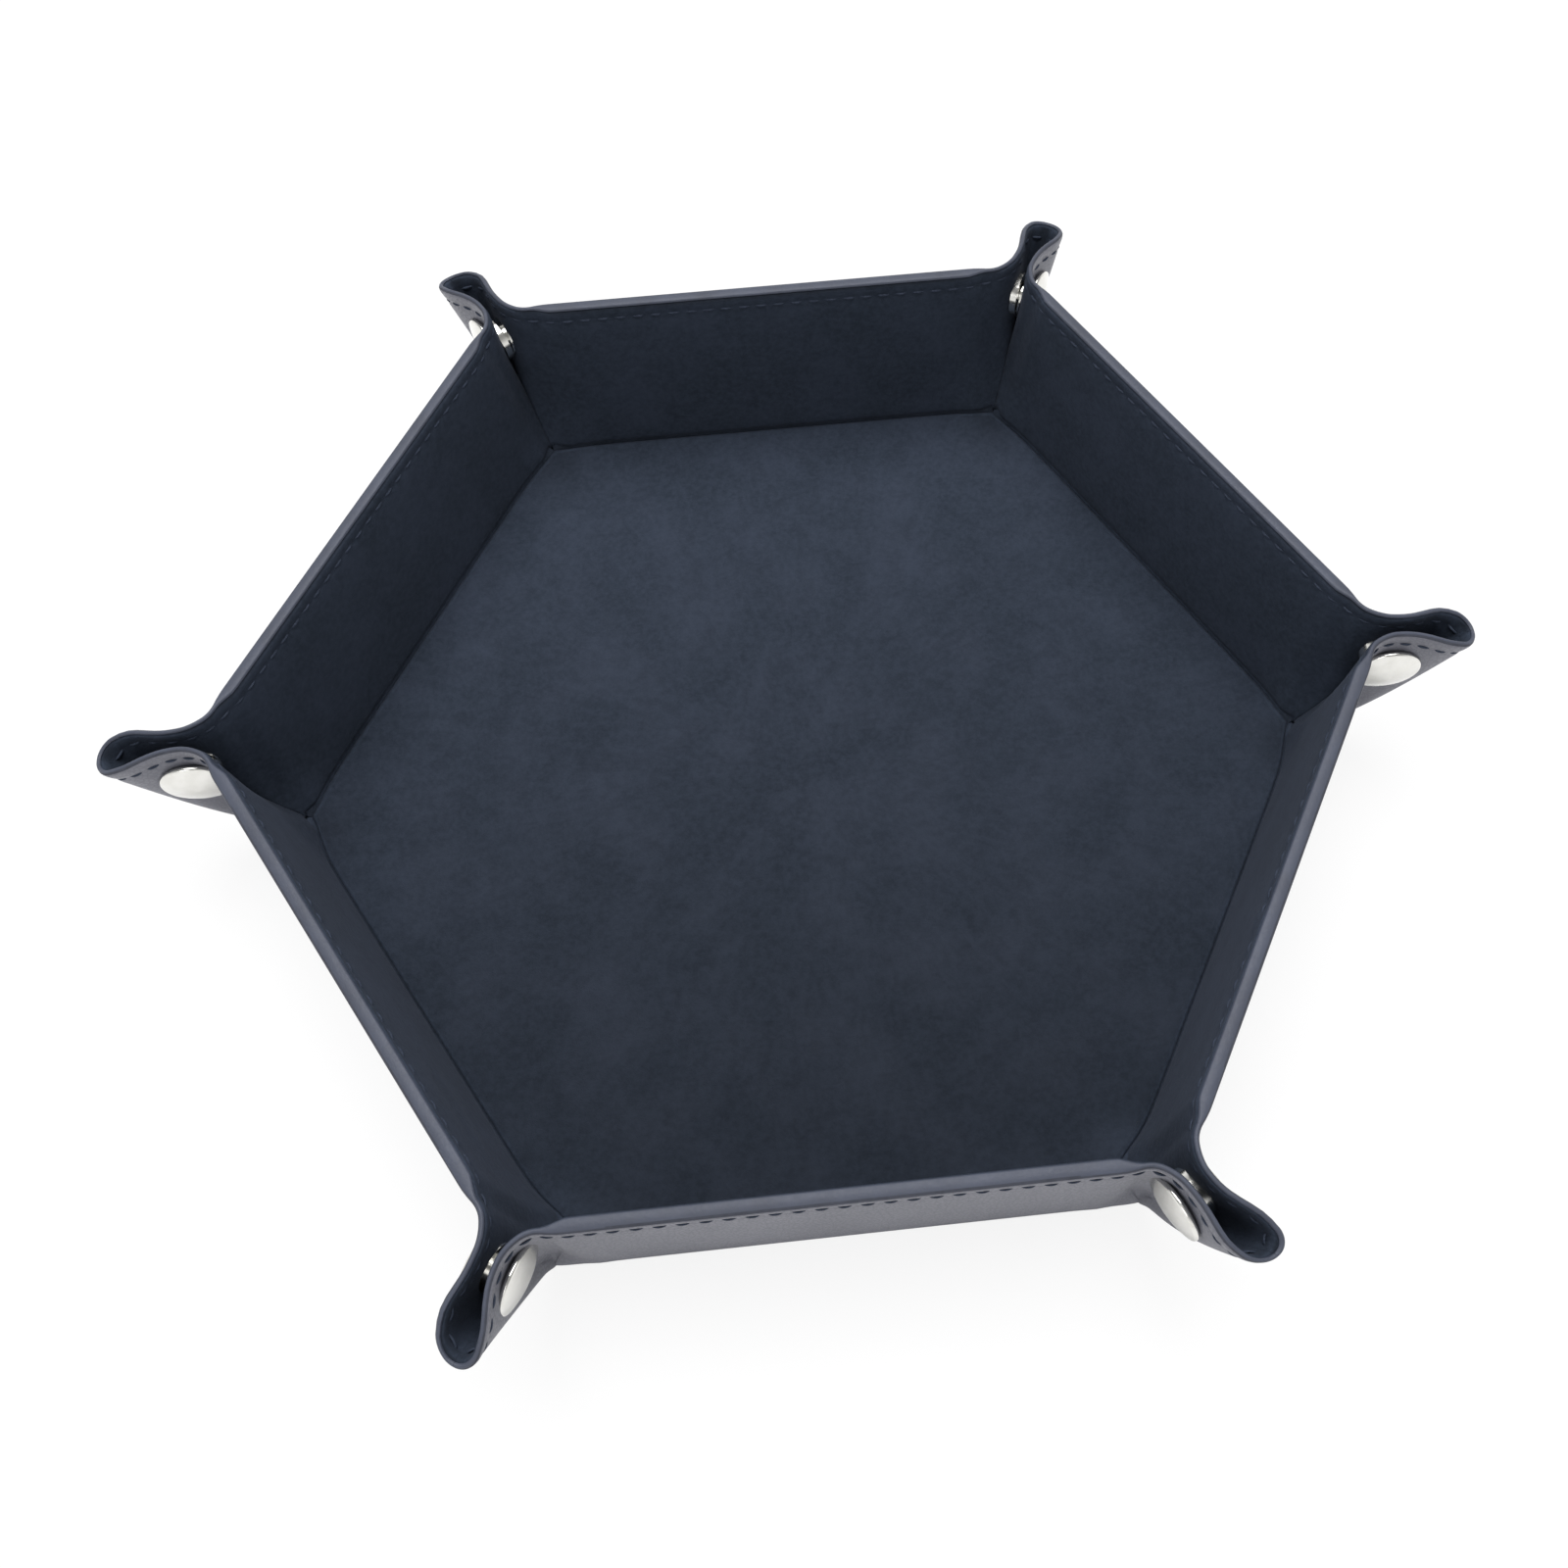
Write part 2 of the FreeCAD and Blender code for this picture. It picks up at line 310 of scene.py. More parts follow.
def new_piece(name, points, faces, materials, material_index=None, mirrored=False, weld=0.0005):
    """A closed mesh object from points in mm; mirrored pieces get their faces turned round."""
    mesh = bpy.data.meshes.new(name)
    if mirrored:
        faces = [tuple(reversed(face)) for face in faces]
    mesh.from_pydata([tuple(p) for p in np.asarray(points) * MM], [], faces)
    for material in materials:
        mesh.materials.append(material)
    if material_index is not None:
        mesh.polygons.foreach_set("material_index", material_index)
    mesh.polygons.foreach_set("use_smooth", [True] * len(mesh.polygons))
    mesh.update()
    tidy_mesh(mesh, weld * MM)
    return add_object(name, mesh)


def tidy_mesh(mesh, weld):
    """Welds doubled points, splits the flat end caps and points every face outward."""
    work = bmesh.new()
    work.from_mesh(mesh)
    bmesh.ops.remove_doubles(work, verts=work.verts, dist=weld)
    bmesh.ops.dissolve_degenerate(work, edges=work.edges, dist=weld)
    bmesh.ops.triangulate(work, faces=[face for face in work.faces if len(face.verts) > 4])
    bmesh.ops.recalc_face_normals(work, faces=work.faces)
    work.to_mesh(mesh)
    work.free()
    mesh.set_sharp_from_angle(angle=SHARP_ANGLE)


def loft(name, loops, edge_materials, mirrored=False):
    """Closed skin over a row of closed loops; edge_materials names each loop edge's material."""
    rows, count = loops.shape[:2]
    faces = []
    for i in range(rows - 1):
        faces += band(i * count, (i + 1) * count, count)
    faces += [cap(0, count)[::-1], cap((rows - 1) * count, count)]
    index = edge_materials * (rows - 1) + [edge_materials[-1]] * 2
    return new_piece(name, loops.reshape(-1, 3), faces, SHEET_MATERIALS, index, mirrored)


def dress(piece, replaced=None, body=None):
    """Hides the CAD node that a piece replaces and hangs the piece on the body that it rides."""
    if replaced:
        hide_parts(replaced)
    if body:
        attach(piece, body)


# ---- materials ----
class Nodes:
    """Builds a material's node tree."""

    def __init__(self, name):
        self.material = bpy.data.materials.new(name)
        self.material.use_nodes = True
        self.tree = self.material.node_tree
        self.tree.nodes.clear()
        self.output = self.add("ShaderNodeOutputMaterial")
        self.shader = self.add("ShaderNodeBsdfPrincipled")
        self.link(self.shader.outputs["BSDF"], self.output.inputs["Surface"])
        self.place = self.add("ShaderNodeTexCoord").outputs["Object"]

    def add(self, kind, **settings):
        node = self.tree.nodes.new(kind)
        for key, value in settings.items():
            setattr(node, key, value)
        return node

    def link(self, source, target):
        self.tree.links.new(source, target)

    def fill(self, socket, value):
        """Feeds an input with another node's output, or sets it to a value."""
        if isinstance(value, bpy.types.NodeSocket):
            self.link(value, socket)
        else:
            socket.default_value = value

    def set(self, **values):
        """Fills the shader's inputs by name, with _ for a space."""
        for key, value in values.items():
            self.fill(self.shader.inputs[key.replace("_", " ")], value)

    def noise(self, size_mm, detail, roughness, stretch=None):
        """Noise whose features are about size_mm across."""
        vector = self.place
        if stretch:
            mapping = self.add("ShaderNodeMapping")
            mapping.inputs["Scale"].default_value = stretch
            self.link(vector, mapping.inputs["Vector"])
            vector = mapping.outputs["Vector"]
        node = self.add("ShaderNodeTexNoise")
        node.inputs["Scale"].default_value = 1 / (size_mm * MM)
        node.inputs["Detail"].default_value = detail
        node.inputs["Roughness"].default_value = roughness
        self.link(vector, node.inputs["Vector"])
        return node.outputs["Fac"]

    def cells(self, size_mm):
        """Distance to the edges of cells that are about size_mm across."""
        node = self.add("ShaderNodeTexVoronoi", feature="DISTANCE_TO_EDGE")
        node.inputs["Scale"].default_value = 1 / (size_mm * MM)
        self.link(self.place, node.inputs["Vector"])
        return node.outputs["Distance"]

    def span(self, value, low, high, new_low, new_high):
        """Maps value from low..high to new_low..new_high, held at the ends."""
        node = self.add("ShaderNodeMapRange")
        set_range(node, low, high, new_low, new_high)
        self.link(value, node.inputs["Value"])
        return node.outputs["Result"]

    def sum(self, first, second, operation="ADD"):
        """Sum of two values, or another operation on them."""
        node = self.add("ShaderNodeMath", operation=operation)
        self.fill(node.inputs[0], first)
        self.fill(node.inputs[1], second)
        return node.outputs["Value"]

    def mix(self, factor, first, second):
        """Mix of two colours; inputs 6 and 7 and output 2 are the node's colour ones."""
        node = self.add("ShaderNodeMix", data_type="RGBA")
        self.link(factor, node.inputs["Factor"])
        self.fill(node.inputs[6], first)
        self.fill(node.inputs[7], second)
        return node.outputs[2]

    def mottle(self, value, low, high, first, second):
        """Goes from one display colour to another as value goes from low to high."""
        return self.mix(self.span(value, low, high, 0, 1), colour(*first), colour(*second))

    def bump(self, *layers):
        """Stacks bump layers given as (height, depth in mm)."""
        normal = None
        for height, depth_mm in layers:
            node = self.add("ShaderNodeBump")
            node.inputs["Distance"].default_value = depth_mm * MM
            node.inputs["Strength"].default_value = 1.0
            self.link(height, node.inputs["Height"])
            if normal is not None:
                self.link(normal, node.inputs["Normal"])
            normal = node.outputs["Normal"]
        self.link(normal, self.shader.inputs["Normal"])


def set_range(node, low, high, new_low, new_high):
    """Sets a Map Range node from low..high to new_low..new_high."""
    numbers = {"From Min": low, "From Max": high, "To Min": new_low, "To Max": new_high}
    for key, number in numbers.items():
        node.inputs[key].default_value = number


def colour(red, green, blue):
    """Linear colour from display values 0 to 255."""
    def linear(value):
        value /= 255
        return value / 12.92 if value <= 0.04045 else ((value + 0.055) / 1.055) ** 2.4
    return (linear(red), linear(green), linear(blue), 1.0)


def velvet_material():
    """Short pile with brushed patches; its colour carries a painted sheen, darker where it's seen
    straight on or edge on.
    """
    n = Nodes("slate_velvet")
    nap = n.noise(16, 3, 0.55)
    pile = n.noise(1.1, 3, 0.65)
    fibre = n.noise(0.22, 2, 0.6)
    brushed = n.span(nap, 0.38, 0.64, 0, 1)
    scuff = n.noise(4.5, 5, 0.7)
    base = n.mix(brushed, colour(39, 46, 57), colour(45, 52, 65))
    base = n.mix(n.span(scuff, 0.36, 0.62, 0.4, 0), base, colour(31, 37, 47))
    speck = n.span(pile, 0.35, 0.65, 0, 1)
    base = n.mix(n.sum(speck, 0.4, "MULTIPLY"), base, colour(56, 64, 78))
    # Painted sheen: the base colour is scaled by how squarely the velvet faces the camera, darkest
    # seen straight on and a little darker edge on.
    facing = n.add("ShaderNodeLayerWeight")
    facing.inputs["Blend"].default_value = 0.5
    rise = n.span(facing.outputs["Facing"], 0.0, 0.22, 0.44, 1.0)
    fall = n.span(facing.outputs["Facing"], 0.35, 0.9, 1.0, 0.7)
    sheen_scaled_colour = n.add("ShaderNodeVectorMath", operation="SCALE")
    n.link(base, sheen_scaled_colour.inputs[0])
    n.link(n.sum(rise, fall, "MULTIPLY"), sheen_scaled_colour.inputs["Scale"])
    n.set(Base_Color=sheen_scaled_colour.outputs["Vector"], Roughness=n.span(brushed, 0, 1, 0.95, 0.85),
          Sheen_Weight=0.08, Sheen_Roughness=0.4, Sheen_Tint=colour(170, 180, 205),
          Specular_IOR_Level=0.15)
    n.bump((pile, 0.12), (fibre, 0.06))
    return n.material


def leather_material():
    n = Nodes("blue_grey_leather")
    cell = n.cells(0.85)
    grain = n.span(cell, 0.0, 0.22, 0, 1)
    cloud = n.noise(22, 3, 0.5)
    fine = n.noise(0.3, 2, 0.6)
    base = n.mottle(cloud, 0.35, 0.65, (96, 97, 106), (103, 104, 113))
    base = n.mix(n.span(grain, 0, 1, 0.22, 0), base, colour(72, 73, 82))
    roughness = n.span(n.sum(grain, fine), 0.4, 1.6, 0.56, 0.42)
    n.set(Base_Color=base, Roughness=roughness, Specular_IOR_Level=0.45)
    n.bump((grain, 0.03), (fine, 0.015))
    return n.material


def edge_material():
    """Painted cut edge of the walls: smoother than the leather, with layers just showing."""
    n = Nodes("painted_edge")
    cloud = n.noise(7, 3, 0.55)
    fine = n.noise(0.5, 3, 0.6)
    base = n.mottle(cloud, 0.3, 0.7, (53, 57, 69), (61, 66, 80))
    n.set(Base_Color=base, Roughness=n.span(fine, 0.3, 0.7, 0.5, 0.62), Specular_IOR_Level=0.4)
    n.bump((cloud, 0.15), (fine, 0.05))
    return n.material


def seam_material():
    """Dark line where the edge paint stops at the leather."""
    n = Nodes("dark_seam")
    cloud = n.noise(2, 3, 0.6)
    n.set(Base_Color=n.mottle(cloud, 0.3, 0.7, (40, 43, 53), (52, 55, 66)), Roughness=0.8)
    n.bump((cloud, 0.04))
    return n.material


def thread_material():
    n = Nodes("sewing_thread")
    twist = n.noise(0.25, 2, 0.5)
    base = n.mottle(twist, 0.35, 0.65, (43, 49, 61), (56, 63, 77))
    n.set(Base_Color=base, Roughness=0.8, Specular_IOR_Level=0.1)
    n.bump((twist, 0.06))
    return n.material


def nickel_material():
    n = Nodes("nickel_plate")
    haze = n.noise(2.5, 3, 0.6)
    scratch = n.noise(0.6, 2, 0.6, stretch=(1.0, 6.0, 1.0))
    base = n.mottle(haze, 0.35, 0.65, (206, 205, 200), (216, 215, 211))
    n.set(Base_Color=base, Roughness=n.span(haze, 0.3, 0.7, 0.14, 0.24), Metallic=1.0)
    n.bump((scratch, 0.004))
    return n.material


def board_material():
    n = Nodes("pressed_board")
    fibre = n.noise(1.5, 3, 0.6)
    n.set(Base_Color=n.mottle(fibre, 0.3, 0.7, (118, 102, 82), (150, 132, 108)), Roughness=0.85)
    n.bump((fibre, 0.1))
    return n.material


VELVET = velvet_material()
LEATHER = leather_material()
EDGE = edge_material()
SEAM = seam_material()
THREAD = thread_material()
NICKEL = nickel_material()
BOARD = board_material()
SHEET_MATERIALS = [VELVET, EDGE, SEAM, LEATHER]


# ---- profiles ----
FIRST_ROW = 2.1             # the flat part of a wall starts this far up from its crease
LOW_ROWS = (0.3, 1.2)       # rows of a corner piece below that, as distances from the floor corner
ROW_STEP = 2.2
GROOVE_ROWS = (1.1, 0.5, 0.0, -0.5, -1.1)       # rows near the stitches, from their line
TOP_ROW = 1.2               # the last row, below the rim
VELVET_SLOT, EDGE_SLOT, SEAM_SLOT, LEATHER_SLOT = range(4)

# The rim, as (distance below the rim, depth under the face, material of the stretch that follows).
VELVET_RIM = ((0.85, 0.10, VELVET_SLOT), (0.62, 0.38, VELVET_SLOT))
EDGE_RIM_IN = ((0.46, 0.22, EDGE_SLOT), (0.14, 0.28, EDGE_SLOT), (0.0, 0.5, EDGE_SLOT))
EDGE_RIM_OUT = ((0.0, 0.62, EDGE_SLOT), (0.1, 0.42, SEAM_SLOT), (0.42, 0.16, SEAM_SLOT),
                (0.6, 0.2, LEATHER_SLOT), (0.78, 0.05, LEATHER_SLOT))


def wall_rows():
    """Rows up a wall as distances from its rim, lowest first, closer together at the stitch groove."""
    groove = [STITCH_INSET + offset for offset in GROOVE_ROWS] + [TOP_ROW]
    span = WALL_LENGTH - FIRST_ROW - groove[0]
    count = int(span / ROW_STEP)
    plain = [WALL_LENGTH - FIRST_ROW - span * k / count for k in range(count)]
    return plain + groove


def groove_depth(from_rim):
    return STITCH_GROOVE * hump(from_rim, STITCH_INSET, STITCH_GROOVE_WIDTH)


def velvet_profile(rows):
    """(distance from rim, depth under the velvet face, material) up the inside of a wall."""
    return [(row, groove_depth(row), VELVET_SLOT) for row in rows] + list(VELVET_RIM)


def leather_profile(rows):
    """The same down the outside, from the top of the rim."""
    return list(EDGE_RIM_OUT) + [(row, groove_depth(row), LEATHER_SLOT) for row in reversed(rows)]


# ---- corner pieces ----
NECK = (math.radians(-8), math.radians(9))      # rays stand closer together between these
TONGUE_REACH = math.radians(2.0)
TONGUE_HALF = 0.22          # half of its thickness
TONGUE_ENDS = (4.0, 1.0)    # it stops this far from the floor corner and from the ear's edge
TONGUE_ROWS = 16
TONGUE_COLUMNS = 5


def corner_point(angle, drop, depth, inside):
    """Point of a corner piece on its ray, at a distance from the rim and a depth under a face."""
    stretch = 1 / math.cos(min(angle, 0.0))
    distance = float(outline(angle)) - drop * stretch
    from_crease = -distance * math.sin(angle)
    normal = sheet_normal(angle, distance)
    middle = sheet(angle, distance)
    height = distance * math.cos(angle)
    if inside:
        point = middle + normal * (inside_face(from_crease, height) + depth)
        point[1] = max(point[1], EAR_GAP)
        return corner_fill(point, CORNER, STRAIGHT_OUT)
    off = outside_face(from_crease, height) + bulge(from_crease, height) - depth
    return middle + normal * off + corner_push(distance) * STRAIGHT_OUT


def corner_loops(angles):
    """Closed loops of the bonded sheet at each angle round the floor corner, in the half-corner."""
    loops = []
    for angle in angles:
        stretch = 1 / math.cos(min(angle, 0.0))
        edge = float(outline(angle)) / stretch
        rows = [edge - low for low in LOW_ROWS] + wall_rows()
        inner = velvet_profile(rows) + list(EDGE_RIM_IN)
        outer = leather_profile(rows)
        loops.append([corner_point(angle, drop, depth, True) for drop, depth, _ in inner]
                     + [corner_point(angle, drop, depth, False) for drop, depth, _ in outer])
    materials = [slot for _, _, slot in inner + outer]
    materials[-1] = VELVET_SLOT     # the closing band at the floor corner, seen when the mat is flat
    return np.array(loops), materials


def tongue_loops():
    """Strip inside an ear end that bridges the slit between the two ends when the ear opens."""
    loops = []
    start, margin = TONGUE_ENDS
    for angle in np.linspace(END_ANGLE - TONGUE_REACH, END_ANGLE + TONGUE_REACH, TONGUE_COLUMNS):
        edge = float(outline(min(angle, END_ANGLE))) - margin
        distances = np.linspace(start, edge, TONGUE_ROWS)
        middle = sheet(angle, distances)
        normal = sheet_normal(angle, distances) * TONGUE_HALF
        loops.append(np.concatenate([middle - normal, (middle + normal)[::-1]]))
    return np.array(loops), [VELVET_SLOT] * TONGUE_ROWS + [LEATHER_SLOT] * TONGUE_ROWS


def corner_transform(points, half):
    """Points of the half-corner frame in their place; some ears also turn to one side."""
    corner_angle, mirrored = half
    if mirrored:
        points = points * np.array([1.0, -1.0, 1.0])
    if corner_angle in TURNED_EARS:
        share = np.maximum(points[..., 0] - CORNER[0] - EAR_TURN_FROM, 0) / EAR_TURN_OVER
        points = points + (TURNED_EARS[corner_angle] * share ** 2)[..., None] * ACROSS_EAR
    return points @ turn(corner_angle).T


def half_names(half):
    """Wall body, and the stem of its flap and fold at this half of a corner."""
    corner_angle, mirrored = half
    wall_angle = (corner_angle - 30) % 360 if mirrored else (corner_angle + 30) % 360
    wall = WALL_NAMES[wall_angle] + "_wall"
    return wall, wall + ("_left" if mirrored else "_right")


def bend_at_corner(piece):
    """Bakes piece's transform into its mesh."""
    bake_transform(piece)


def hang_flap_piece(piece):
    """Bakes the flap piece's transform into its mesh."""
    bend_at_corner(piece)


def hang_fold_piece(piece):
    """Bakes the ear end's piece transform into its mesh."""
    bend_at_corner(piece)


def sheet_piece(body, loops, materials, half):
    """Bonded sheet in place of the CAD piece with the same name as its body."""
    piece = loft(body + "_sheet", corner_transform(loops, half), materials, half[1])
    dress(piece, replaced=body)
    return piece


def build_tongue(body, half):
    loops, slots = tongue_loops()
    piece = loft(body + "_tongue", corner_transform(loops, half), slots)
    dress(piece, body=body)


def build_corners():
    flap_angles = np.concatenate([
        np.linspace(RAY, NECK[0], 8)[:-1],
        np.linspace(*NECK, 22)[:-1],
        np.linspace(NECK[1], SPLIT, 4),
    ])
    tip_angles = np.concatenate([
        np.linspace(SPLIT, FOLD_ANGLE - STRIP_ANGLE, 6)[:-1],
        np.linspace(FOLD_ANGLE - STRIP_ANGLE, END_ANGLE, 18),
    ])
    flap_loops, materials = corner_loops(flap_angles)
    tip_loops, _ = corner_loops(tip_angles)
    for half in HALVES:
        _, stem = half_names(half)
        hang_flap_piece(sheet_piece(stem + "_flap", flap_loops, materials, half))
        hang_fold_piece(sheet_piece(stem + "_fold", tip_loops, materials, half))
        mirrored = half[1]
        if not mirrored:
            build_tongue(stem + "_fold", half)


# ---- walls ----
COLUMN_STEP = 2.5
END_ZONE = 13.0             # columns stand closer together this near the wall's ends
END_COLUMNS = 11
STRIP = 2.7                 # the wall's coverings run this far in over the floor
MITRE = math.tan(HALF_CORNER)
CREASE_RADIUS = 1.4         # of the leather round the floor crease, at a corner
CREASE_GROWTH = 1.2         # it is this much rounder away from the corners
CREASE_STEPS = 8
LEATHER_BACK = 0.6 * SKIN   # how far the hidden back of a covering is under its face
VELVET_BACK = 0.8 * SKIN
VELVET_BACK_ROW = 1.4       # top row of the velvet's back, below the rim
VELVET_BACK_FOOT = (0.8, 0.1)
# The velvet round the crease, as (distance in from the hinge, height over it), and then up the
# foot of the wall, as (height, depth under the face).
VELVET_CREASE = ((2.7, 1.4), (2.2, 1.36), (1.85, 1.22), (1.6, 0.98), (1.42, 0.7), (1.3, 0.42))
VELVET_FOOT = ((1.0, 0.36), (1.35, 0.15), (1.7, 0.05))


def column_shares():
    """Places along a wall from 0 to 1, closer together near the ends where the board stops."""
    near = np.linspace(0, END_ZONE, END_COLUMNS + 1)[:-1]
    count = int((WALL_SPAN - 2 * END_ZONE) / COLUMN_STEP)
    middle = np.linspace(END_ZONE, WALL_SPAN - END_ZONE, count)
    return np.concatenate([near, middle, WALL_SPAN - near[::-1]]) / WALL_SPAN


def end_margin(height):
    """How far from the corner crease the wall piece ends, at a height up the wall."""
    return max(height, 0.0) * math.tan(-RAY)


class Column:
    """One place along a wall; the wall narrows upward because its ends belong to the corners."""

    def __init__(self, share):
        self.share = share

    def along(self, margin):
        return margin + self.share * (WALL_SPAN - 2 * margin)

    def low(self, inward, up):
        """Point of the crease, by its distance in from the hinge and its height over it."""
        along = self.along(max(inward, 0.0) * MITRE)
        return CORNER - inward * WALL_OUT + up * UP + along * ALONG_WALL

    def high(self, height, face):
        """Point of the wall at a height; face gives the offset from the middle plane."""
        along = self.along(end_margin(height))
        offset = face(min(along, WALL_SPAN - along), height)
        return CORNER + height * WALL_UP + offset * WALL_NORMAL + along * ALONG_WALL

    def inside(self, height, depth):
        """Point of the wall at a height and a depth under its velvet face."""
        return self.high(height, lambda s, h: inside_face(s, h) + depth)

    def outside(self, height, depth):
        """The same under its leather face."""
        return self.high(height, lambda s, h: outside_face(s, h) + bulge(s, h) - depth)

    def corner_of(self, point):
        """The nearer floor corner and the way out from the tray's middle to it."""
        along = (point - CORNER) @ ALONG_WALL
        side = -1.0 if along < WALL_SPAN / 2 else 1.0
        corner = CORNER if side < 0 else CORNER + WALL_SPAN * ALONG_WALL
        return corner, math.cos(HALF_CORNER) * WALL_OUT + side * math.sin(HALF_CORNER) * ALONG_WALL

    def pushed(self, point):
        """Point moved out by the leather's stand-off at the nearer floor corner."""
        corner, outward = self.corner_of(point)
        return point + corner_push(np.linalg.norm(point - corner)) * outward

    def filled(self, point):
        """Point moved in by the velvet's fill at the nearer floor corner."""
        corner, outward = self.corner_of(point)
        return corner_fill(point, corner, outward)


def leather_foot(column):
    """Leather round the outside of the floor crease, from the floor up to the wall's face."""
    along = column.along(0.0)
    from_crease = min(along, WALL_SPAN - along)
    spread = float(smooth(from_crease, 0, BULGE_END))
    offset = float(outside_face(from_crease, 0.0)) + BULGE * spread
    radius = CREASE_RADIUS + CREASE_GROWTH * spread
    inner = offset - radius
    height = (radius - HALF_SANDWICH + inner * math.sin(FLARE)) / math.cos(FLARE)
    centre_out = height * math.sin(FLARE) + inner * math.cos(FLARE)
    points = [column.low(STRIP, -HALF_SANDWICH)]
    for k in range(CREASE_STEPS + 1):
        angle = k / CREASE_STEPS * (math.pi / 2 - FLARE)
        out = centre_out + radius * math.sin(angle)
        up = radius - HALF_SANDWICH - radius * math.cos(angle)
        points.append(column.pushed(column.low(-out, up)))
    return points


def wall_leather_loop(share):
    """Closed loop of the leather and the painted rim at one place along a wall."""
    column = Column(share)
    rows = wall_rows()
    loop = [(point, LEATHER_SLOT) for point in leather_foot(column)]
    for drop, depth, slot in reversed(leather_profile(rows)):
        loop.append((column.pushed(column.outside(WALL_LENGTH - drop, depth)), slot))
    for drop, depth, slot in reversed(EDGE_RIM_IN):
        loop.append((column.inside(WALL_LENGTH - drop, depth), slot))
    drop, depth, _ = VELVET_RIM[-1]
    loop.append((column.inside(WALL_LENGTH - drop, depth), LEATHER_SLOT))
    for row in [TOP_ROW] + list(reversed(rows)):
        point = column.high(WALL_LENGTH - row, lambda s, h: outside_face(s, h) - LEATHER_BACK)
        loop.append((point, LEATHER_SLOT))
    loop.append((column.low(0.0, -HALF_SANDWICH + SKIN), LEATHER_SLOT))
    loop.append((column.low(STRIP, -HALF_SANDWICH + SKIN), LEATHER_SLOT))
    return loop


def wall_velvet_loop(share, wrinkle):
    """Closed loop of the velvet lining at one place along a wall."""
    column = Column(share)
    rows = wall_rows()
    loop = [column.low(inward, up) for inward, up in VELVET_CREASE]
    loop += [column.inside(height, depth) for height, depth in VELVET_FOOT]
    for drop, depth, _ in velvet_profile(rows):
        height = WALL_LENGTH - drop
        loop.append(column.inside(height, depth - wrinkle(column.along(end_margin(height)), height)))
    for row in [VELVET_BACK_ROW] + list(reversed(rows)):
        loop.append(column.inside(WALL_LENGTH - row, VELVET_BACK))
    loop.append(column.low(*VELVET_BACK_FOOT))
    loop.append(column.low(STRIP, HALF_SANDWICH - SKIN))
    return [(column.filled(point), VELVET_SLOT) for point in loop]


def lofted_wall(name, make_loop, wall_angle):
    """One covering of a wall, from the loops that make_loop gives along it."""
    loops = []
    for share in column_shares():
        loop = make_loop(share)
        loops.append([point for point, _ in loop])
    shape = np.array(loops) @ turn(wall_angle - 30).T
    return loft(name, shape, [slot for _, slot in loop])


def crease_blend(piece):
    """Bakes piece's transform into its mesh."""
    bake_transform(piece)


# ---- wear of the linings ----
# A lining shape gives how far the velvet stands proud, by place along the wall and height up it.
WRINKLE_HEIGHT = 0.45
WRINKLE_SLANT = 0.10
WRINKLE_START = (0.55 * WALL_SPAN, 0.8 * WALL_SPAN)     # they grow between these places
WRINKLE_END = (11, 2)                                   # and die out this near the wall's end
WRINKLE_RIDGES = ((20, 2.2, 1.0), (28, 1.8, 0.8))       # height up the wall, width, strength
PUCKER_RIDGE = (0.41 * WALL_SPAN, 2.2, 3.6, 1.5, 0.75)  # along, width, under the rim, width, height
PUCKER_DIP = (0.44 * WALL_SPAN, 1.6, 2.2, 1.4, -0.5)


def smooth_lining(along, height):
    return 0.0


def corner_wrinkles(along, height):
    """Long shallow folds, close to the wall's left end."""
    end = WALL_SPAN - end_margin(height)
    fade = 1 - smooth(along, end - WRINKLE_END[0], end - WRINKLE_END[1])
    place = height - WRINKLE_SLANT * (along - 0.7 * WALL_SPAN)
    ridges = sum(strength * hump(place, middle, width) for middle, width, strength in WRINKLE_RIDGES)
    return float(WRINKLE_HEIGHT * smooth(along, *WRINKLE_START) * fade * ridges)


def rim_pucker(along, height):
    """A small crumple just under the rim: a ridge with a dip beside it."""
    total = 0.0
    for place, length, under, width, rise in (PUCKER_RIDGE, PUCKER_DIP):
        total += rise * hump(along, place, length) * hump(height, WALL_LENGTH - under, width)
    return float(total)


LINING_SHAPES = {"front_left": corner_wrinkles, "front_right": rim_pucker}


def build_walls():
    for wall_angle, place in WALL_NAMES.items():
        wall = place + "_wall"
        leather = lofted_wall(wall + "_leather_cover", wall_leather_loop, wall_angle)
        dress(leather, replaced=wall + "_leather")
        crease_blend(leather)
        wrinkle = LINING_SHAPES.get(place, smooth_lining)
        velvet = lofted_wall(wall + "_velvet_lining", lambda share: wall_velvet_loop(share, wrinkle),
                             wall_angle)
        dress(velvet, replaced=wall + "_velvet")
        crease_blend(velvet)


# ---- floor ----
FLOOR_RINGS = 40
FLOOR_WAVES = 0.12          # unevenness of the lining
WAVE_FADE = 12              # it dies out this near the edge
FLAT_SHADED = (20 * MM) ** 2    # faces larger than this are the flat back
PATCH_RADIUS = 3.75
PATCH_INSET = 1.75          # its centre is this far in from the floor corner
PATCH_FACES = (SANDWICH - 1.2, SANDWICH - 0.2)
PATCH_SIDES = 24


def hexagon_points(apothem):
    """Points of a flat hexagon, ring by ring from the centre out, and the centre last."""
    points = []
    for ring in range(1, FLOOR_RINGS + 1):
        radius = apothem * ring / FLOOR_RINGS / math.cos(HALF_CORNER)
        for corner_angle in CORNER_ANGLES:
            a = turn(corner_angle) @ (radius * STRAIGHT_OUT)
            b = turn(corner_angle + 60) @ (radius * STRAIGHT_OUT)
            points += [a + (b - a) * k / ring for k in range(ring)]
    return np.array(points + [np.zeros(3)])


def ring_point(ring, side=0, k=0):
    """Index of a point of hexagon_points; ring r has r points a side."""
    return 3 * ring * (ring - 1) + (side * ring + k) % (6 * ring)


